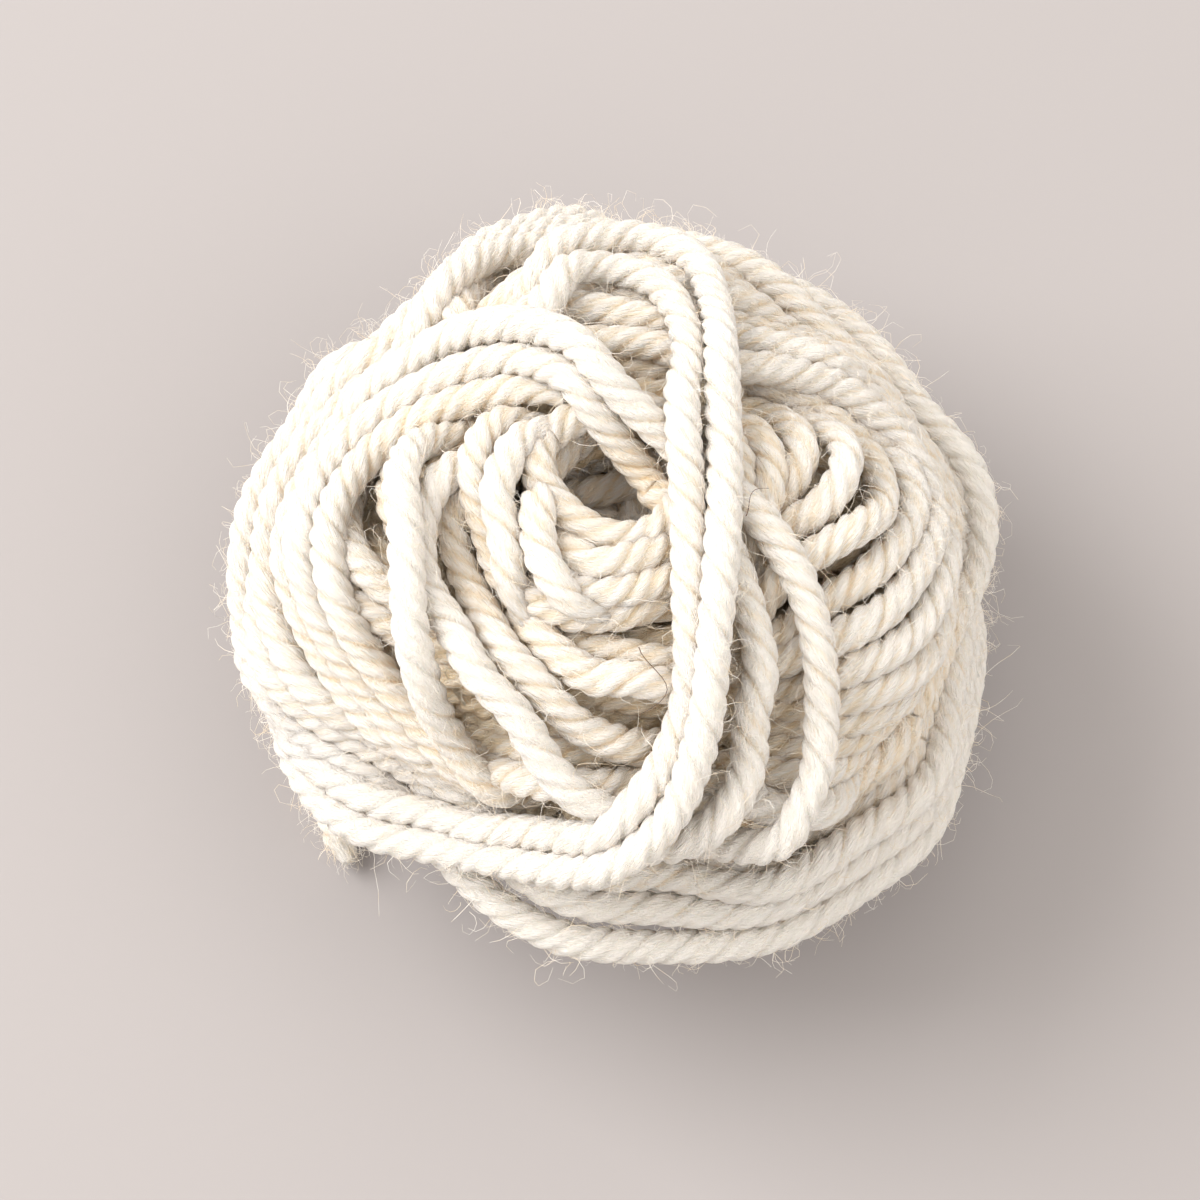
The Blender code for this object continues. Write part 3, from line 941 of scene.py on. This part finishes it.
def packed_shade_finish():
    """A tangle of wool, with no plies, painted a warm tan for the shade deep between the strands, in
    random patches.
    """
    material, graph = finish("packed_wool", Roughness=0.95, Specular_IOR_Level=0.1)
    where = graph.add("ShaderNodeTexCoord", out="Object")
    tangle = graph.noise(where, 900.0, Detail=4.0, Roughness=0.7, Distortion=2.5)
    relief = graph.add("ShaderNodeBump", None, dict(Height=tangle, Strength=1.0, Distance=0.0012))
    # painted shade: both colours are tans that stand for wool in shade between the strands; the tangle
    # only varies them at random
    colour_in(graph, "Base Color",
              graph.blend((tangle - 0.5) * 3 + 0.5, (0.98, 0.86, 0.65), (0.95, 0.75, 0.50)))
    colour_in(graph, "Normal", relief)
    return material


def make_middle():
    """A closed body that follows the pile from below."""
    body = bmesh.new()
    bmesh.ops.create_icosphere(body, subdivisions=5, radius=1.0)
    directions = np.array([vertex.co.normalized()[:] for vertex in body.verts])
    heights = np.empty(len(directions))
    for first in range(0, len(directions), 1000):
        nearness = directions[first:first + 1000] @ spots.T
        around = np.argpartition(-nearness, 12, axis=1)[:, :12]
        heights[first:first + 1000] = pile[around].min(axis=1)
    points = place(directions, np.clip(heights - PACKED_BELOW, DEEPEST, None))
    points[:, 2] = np.maximum(points[:, 2], OFF_TABLE)
    hollow = np.hypot(points[:, 0] - HOLLOW[0], points[:, 1] - HOLLOW[1]) < HOLLOW_WALL
    foot = hollow & (points[:, 2] > HOLLOW_FOOT)
    points[foot, 2] = HOLLOW_FOOT + 0.1 * (points[foot, 2] - HOLLOW_FOOT)
    for vertex, point in zip(body.verts, points):
        vertex.co = point
    mesh = bpy.data.meshes.new("packed_wool")
    body.to_mesh(mesh)
    body.free()
    mesh.shade_smooth()
    mesh.materials.append(packed_shade_finish())
    return stand("packed_wool", mesh)


middle = make_middle()
print("packed wool has", len(middle.data.vertices), "points")

# %% [markdown]
# ## The loose end
#
# The yarn's free end comes off the lower flank and lies on the table under the ball's overhang,
# with only its tip showing. It is a cord of its full length, so it repeats the tube's route.

# %% Lay the loose end
LOOSE_END_ROUTE = [
    dict(compass=160, reach=0.0356, height=0.0075),
    dict(compass=168, reach=0.0349, height=0.0054),
    dict(compass=178, reach=0.0348, height=0.0034),
    dict(compass=189, reach=0.0350, height=0.0022),
    dict(compass=200, reach=0.0356, height=0.0020),
    dict(compass=210, reach=0.0366, height=0.0020),
    dict(compass=219, reach=0.0382, height=0.0020),
]
TIP_POINTS = 8               # points of the tip that are lighter, with no painted shade, and hairier, where the fibres come apart
TIP_LIGHT = 0.02             # how much less deep the tip counts, in metres of wool, which lifts its painted shade

end_route = catmull_rom([np.array([spot["reach"] * math.cos(math.radians(spot["compass"])),
                                   spot["reach"] * math.sin(math.radians(spot["compass"])),
                                   spot["height"]]) for spot in LOOSE_END_ROUTE],
                        closed=False, per_span=12)
end_length = route_length(end_route)
end_rank = np.arange(len(end_route))
end_run = dict(points=end_route, slim=slim_ends(len(end_route), False, True),
               depth=np.where(end_rank > len(end_route) - TIP_POINTS, -TIP_LIGHT, 0.0))
loose_end = spin("loose_end_yarn", [end_run])
print("loose end is", round(end_length, 4), "m long")

# %% [markdown]
# ## Fuzz
#
# Wool is hairy: fine fibres stand off every strand, cross the gaps and make a soft halo round
# the ball. Hair particles would be lost when the ball is exported, so each fibre is a real
# three-sided thread, of only a few faces because there are thousands. The tree scatters points
# on the yarn, more where the strand lies open, and sets one of a few bent fibres on each,
# turned any way and leaning out a little.

# %% The fuzz tree
BENDS = [((0.35, 0.15, 0.30), (0.95, 0.05, 0.05)), ((0.60, -0.40, 0.18), (0.70, 0.40, 0.22)),
         ((0.60, 0.50, 0.12), (0.15, 0.70, 0.18)), ((0.25, -0.20, 0.45), (0.75, -0.35, 0.20)),
         ((0.75, 0.10, 0.30), (0.45, 0.60, 0.35)), ((0.30, 0.35, 0.20), (-0.25, 0.55, 0.10))]
HANG = 0.7                   # how far fibres that face down are taken to hang, of the longest
LEAST_FUZZ = 0.15            # fuzz of the deepest wool, on top of what its openness gives


def fuzz_graph():
    """The tree that sets bent fibres on a piece of yarn."""
    graph, given = shape_graph("fuzz", [
        ("Count per area", "Float"), ("Shortest", "Float"), ("Longest", "Float"),
        ("Slenderness", "Float"), ("Lowest", "Float"), ("Seed", "Int"), ("Material", "Material")])
    facing = graph.upright(graph.shape("InputNormal"))
    height = graph.upright(graph.shape("InputPosition")) + HANG * given["Longest"] * facing
    points = graph.add("GeometryNodeDistributePointsOnFaces", dict(distribute_method="RANDOM"), {
        "Mesh": given["Geometry"], "Seed": given["Seed"],
        "Density": given["Count per area"] * (graph.named("tone") + LEAST_FUZZ),
        "Selection": height.sum("GREATER_THAN", height, given["Lowest"])})
    kinds = graph.tree.nodes.new("GeometryNodeJoinGeometry")
    for middle_point, end_point in BENDS:
        bend = graph.shape("CurveQuadraticBezier", Resolution=2, Start=(0, 0, 0),
                           Middle=middle_point, End=end_point)
        fibre = graph.hair(bend, given["Slenderness"])
        graph.join(graph.shape("GeometryToInstance", Geometry=fibre), kinds.inputs[0])
    spin_round = graph.add("FunctionNodeRandomValue", dict(data_type="FLOAT_VECTOR"), {
        "Min": (-0.5, -0.38, -math.pi), "Max": (0.5, 0.25, math.pi), "Seed": 3})
    turned = graph.add("FunctionNodeRotateRotation", dict(rotation_space="LOCAL"), {
        0: points.also("Rotation"),
        1: graph.add("FunctionNodeEulerToRotation", None, {0: spin_round})})
    chance = graph.add("FunctionNodeRandomValue", dict(data_type="FLOAT"), {"Seed": 8}, out=1)
    length = given["Shortest"] + (given["Longest"] - given["Shortest"]) * chance ** 2
    which = graph.add("FunctionNodeRandomValue", dict(data_type="INT"), {
        4: 0, 5: len(BENDS) - 1, "Seed": 5}, out=2)
    fibres = graph.add("GeometryNodeInstanceOnPoints", None, {
        "Points": points, "Instance": Wire(graph, kinds.outputs[0]), "Pick Instance": True,
        "Instance Index": which, "Rotation": turned, "Scale": length})
    close_graph(graph, fibres, given["Material"])
    return graph


fuzz_tree = fuzz_graph()
print(len(BENDS), "kinds of fibre")

# %% [markdown]
# Loose fibres are lighter than the yarn, because light passes through them.

# %% Grow the fuzz
FUZZ = dict(hidden=0.35, lower=1.15, upper=1.15, last=1.15)   # how hairy each part is
END_FUZZ = 9                 # how hairy the loose end is
FIBRES_PER_SQUARE_METRE = 235000


def loose_fibre():
    """Fine fibres, lighter in some places."""
    material, graph = finish("loose_fibre", Roughness=0.75, Specular_IOR_Level=0.2,
                             Sheen_Weight=0.3)
    patches = graph.noise(graph.add("ShaderNodeTexCoord", out="Object"), 600.0, Detail=1.0)
    colour_in(graph, "Base Color",
              graph.blend((patches - 0.5) * 3 + 0.35, (0.97, 0.92, 0.84), (0.84, 0.67, 0.45)))
    return material


def grow(name, yarn, hairiness, **values):
    """Sets fuzz on a piece of yarn."""
    return run_graph(yarn, fuzz_tree, name, **values, **{
        "Count per area": FIBRES_PER_SQUARE_METRE * hairiness, "Material": fluff})


fluff = loose_fibre()
fuzz = [grow("fuzz_" + part, yarn, FUZZ[part], Shortest=0.0010, Longest=0.0042,
             Slenderness=0.0085, Lowest=0.005, Seed=number + 1)
        for number, (part, yarn) in enumerate(zip(PIECES, turns))]
end_fuzz = grow("fuzz_loose_end", loose_end, END_FUZZ, Shortest=0.0014, Longest=0.0040,
                Slenderness=0.0075, Lowest=0.002, Seed=9)

# %% [markdown]
# ## Strays
#
# Longer hairs wander over the strands and out of the outline, curling as they go, and a few dark
# ones were spun in with the fleece. Each is a line followed step by step: its heading turns about
# an axis of its own and is drawn back to the ball.

# %% Let the strays out
STRAYS = 2500                # places that a stray may start from
STRAY_STEPS = 6              # straight pieces in each
LOWEST_STRAY = -0.55         # how far round the underside they start, as a share of straight down
STRAY_WIDTH, DARK_WIDTH = 0.000052, 0.00013   # thickness of a stray and of a dark hair
HAIR_STEP = 0.0004           # how far strays start under the pile's top, and dark hairs lie over it


def follow(starts, outwards, lengths, curl, lean):
    """Wandering lines: (lines, steps, 3)."""
    axes = unit(rng.normal(size=starts.shape))
    heading = unit(np.cross(outwards, axes) + lean[:, None] * outwards)
    places = [starts]
    for _ in range(STRAY_STEPS):
        places.append(places[-1] + heading * lengths[:, None] / STRAY_STEPS)
        off = np.einsum("ij,ij->i", places[-1] - starts, outwards) / lengths
        heading = unit(heading + curl[:, None] * np.cross(axes, heading)
                       - (1.3 * off - 0.04)[:, None] * outwards
                       + 0.30 * rng.normal(size=starts.shape))
    return np.stack(places, 1)


def thread_graph():
    """The tree that turns bare lines into hairs."""
    graph, given = shape_graph("thread", [("Thickness", "Float"), ("Material", "Material")])
    line = graph.shape("MeshToCurve", Mesh=given["Geometry"])
    close_graph(graph, graph.hair(line, given["Thickness"] / 2), given["Material"])
    return graph


def let_out(name, lines, thickness, material):
    """Turns lines into one piece of hairs."""
    holder = thread_lines(name + "_line", lines)
    made = run_graph(holder, thread_tree, name, Thickness=thickness, Material=material)
    bpy.data.objects.remove(holder, do_unlink=True)
    return made


thread_tree = thread_graph()
open_spots = rng.choice(np.flatnonzero(spots[:, 2] > LOWEST_STRAY), STRAYS, replace=False)
from_axis = np.hypot(spots[open_spots, 0], spots[open_spots, 1])
open_spots = open_spots[from_axis > LEFT_OUT]
stray_lines = follow(
    place(spots[open_spots], pile[open_spots] - HAIR_STEP), outward(spots[open_spots]),
    0.003 + 0.007 * rng.uniform(size=len(open_spots)) ** 2,
    rng.uniform(0.2, 1.0, len(open_spots)), rng.uniform(0.0, 0.6, len(open_spots)) ** 1.5)
strays = let_out("strays", list(stray_lines), STRAY_WIDTH, fluff)

# %% [markdown]
# The dark hairs lie on the ball, each named by where it starts and ends: compass and angle down.

# %% Lay the dark hairs
DARK_HAIRS = [
    dict(start=(-23, 20), end=(-9, 22), bow=0.03),
    dict(start=(-82, 27), end=(-84, 37), bow=0.08),
    dict(start=(-26, 36), end=(-22, 38), bow=0.03),
]


def hair_line(start, end, bow):
    """A bowed line over the wool, from one place to another."""
    share = np.linspace(0, 1, 12)
    first, last = (pointing(math.radians(compass), form_angle(math.radians(down)))
                   for compass, down in (start, end))
    side = np.cross(first, last - first)
    side /= np.linalg.norm(side)
    line = np.outer(1 - share, first) + np.outer(share, last)
    line = unit(line + np.outer(np.sin(math.pi * share ** 1.5) * bow, side))
    return place(line, pile[(line @ spots.T).argmax(axis=1)].max() + HAIR_STEP)


dark_hair, _ = finish("dark_hair", Base_Color=(0.12, 0.06, 0.03, 1), Roughness=0.5)
dark = let_out("dark_hairs", [hair_line(**row) for row in DARK_HAIRS], DARK_WIDTH, dark_hair)

# %% [markdown]
# ## Camera, light and table
#
# The camera looks down at the ball from the front, through a long lens. A large soft light
# stands at the upper left, as a window would, with a weak fill from the other side.

# %% Camera
CAMERA_ELEVATION = 68        # degrees above the table
CAMERA_DISTANCE = 0.45       # from the ball's middle
VIEW_WIDTH = 0.1315          # width of the view at the ball
AIM_LEFT, AIM_DOWN = 0.0013, 0.0022   # the ball stands a little right of the middle, and above


def make_camera():
    camera = stand("camera", bpy.data.cameras.new("camera"))
    elevation = math.radians(CAMERA_ELEVATION)
    back = Vector((0, -math.cos(elevation), math.sin(elevation)))
    upward = Vector((0, math.sin(elevation), math.cos(elevation)))
    target = Vector(centre) - Vector((AIM_LEFT, 0, 0)) - upward * AIM_DOWN
    camera.location = target + back * CAMERA_DISTANCE
    camera.rotation_mode = "QUATERNION"
    camera.rotation_quaternion = (-back).to_track_quat("-Z", "Y")
    camera.data.lens = camera.data.sensor_width * CAMERA_DISTANCE / VIEW_WIDTH
    camera.data.clip_start = 0.01
    bpy.context.scene.camera = camera


make_camera()
print("camera stands", CAMERA_ELEVATION, "degrees up")

# %% [markdown]
# Light from the whole room fills the shadows. The table is a plain pale floor.

# %% Light and table
LIGHTS = [
    dict(name="window", place=(-0.90, 0.25, 0.85), width=0.9, power=20.5),
    dict(name="room", place=(0.8, -0.5, 0.9), width=1.4, power=4.5),
]
ROOM_COLOUR, ROOM_STRENGTH = (1.0, 0.965, 0.93, 1), 1.22
TABLE_COLOUR = (0.335, 0.309, 0.301, 1)
TABLE_HALF = 1.5             # half the width of the table


def make_lights():
    for row in LIGHTS:
        light = bpy.data.lights.new(row["name"], "AREA")
        light.size, light.energy = row["width"], row["power"]
        lamp = stand(row["name"], light)
        lamp.location = row["place"]
        lamp.rotation_mode = "QUATERNION"
        lamp.rotation_quaternion = (Vector(centre) - lamp.location).to_track_quat("-Z", "Y")
    world = bpy.data.worlds.new("room")
    world.use_nodes = True
    background = world.node_tree.nodes["Background"].inputs
    background["Color"].default_value = ROOM_COLOUR
    background["Strength"].default_value = ROOM_STRENGTH
    bpy.context.scene.world = world


def make_table():
    mesh = bpy.data.meshes.new("table")
    corners = [(x * TABLE_HALF, y * TABLE_HALF, 0) for x, y in ((-1, -1), (1, -1), (1, 1), (-1, 1))]
    mesh.from_pydata(corners, [], [(0, 1, 2, 3)])
    paint, _ = finish("table", Base_Color=TABLE_COLOUR, Roughness=0.9)
    mesh.materials.append(paint)
    stand("table", mesh)


make_lights()
make_table()
bpy.context.scene.view_settings.view_transform = "Standard"
print("lights:", len(LIGHTS))

# %% [markdown]
# ## Ride on one body
#
# Every piece rides on the one body, and the imported solids that the pieces stand in for are hidden.

# %% Ride and replace
for piece in [*turns, *fuzz, strays, dark, middle]:
    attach(piece, "root")
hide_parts("yarn_ball")
for piece in (loose_end, end_fuzz):
    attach(piece, "root")
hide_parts("loose_end")
